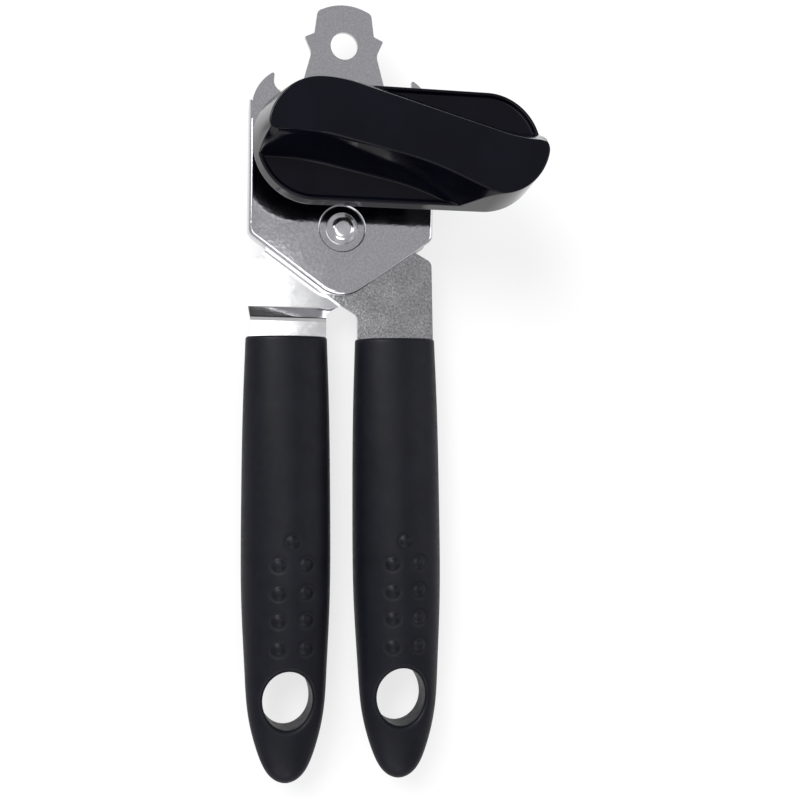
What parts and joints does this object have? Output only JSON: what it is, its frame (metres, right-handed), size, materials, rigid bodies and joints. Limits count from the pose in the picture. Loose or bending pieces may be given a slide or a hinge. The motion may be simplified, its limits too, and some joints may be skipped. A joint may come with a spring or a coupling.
{
  "type": "manual can opener",
  "caption": "Hand-held crossed-lever can opener: pressed steel head with lifter tab, geared cutting and feed wheels, turning knob and two long soft grips.",
  "frame": {"origin": "under the middle of the outline, on the surface that the opener lies on, knob up", "axes": "+Z out of the surface towards the knob, +Y along the object towards the lifter tab, +X to the right seen from the knob's side"},
  "size_m": [0.0764, 0.211, 0.0483],
  "materials": {
    "plated_steel": "bright nickel-chrome plate on pressed sheet, slightly rolled grain",
    "bright_steel": "bright turned steel",
    "hardened_steel": "hardened, tumbled",
    "cutting_steel": "hardened, ground edge",
    "sintered_bushing": "satin",
    "grip_plastic": "satin soft-touch",
    "knob_plastic": "gloss"
  },
  "bodies": {
    "drive_side": {"front_plate": "plated_steel", "left_lever": "plated_steel", "left_grip": "grip_plastic", "pivot_rivet": "bright_steel", "pivot_spacer": "bright_steel", "lever_washer": "bright_steel", "rear_washer": "bright_steel", "drive_bushing": "sintered_bushing", "knob_washer": "bright_steel", "gear_washer": "bright_steel"},
    "cutter_side": {"right_lever": "plated_steel", "right_grip": "grip_plastic", "cutter_stud": "bright_steel", "cutter_spacer": "bright_steel", "stud_washer": "bright_steel"},
    "drive_train": {"knob": "knob_plastic", "drive_shaft": "bright_steel", "drive_gear": "hardened_steel", "feed_wheel": "hardened_steel", "lock_washer": "bright_steel", "feed_nut": "bright_steel"},
    "cutter_train": {"cutter_gear": "hardened_steel", "cutter_collar": "bright_steel", "cutting_wheel": "cutting_steel"}
  },
  "joints": [
    {"name": "handle_hinge", "type": "hinge", "parent": "drive_side", "child": "cutter_side", "pos_m": [-0.0122, 0.04498, 0.008], "axis": [0, 0, 1], "range_deg": [0, 50]},
    {"name": "knob_spin", "type": "hinge", "parent": "drive_side", "child": "drive_train", "pos_m": [0, 0.06428, 0.008], "axis": [0, 0, 1], "continuous": true},
    {"name": "cutter_spin", "type": "hinge", "parent": "cutter_side", "child": "cutter_train", "pos_m": [-0.02155, 0.06581, 0.008], "axis": [0, 0, 1], "continuous": true}
  ],
  "couplings": [
    {"joint": "cutter_spin", "follows": "knob_spin", "ratio": -1}
  ]
}
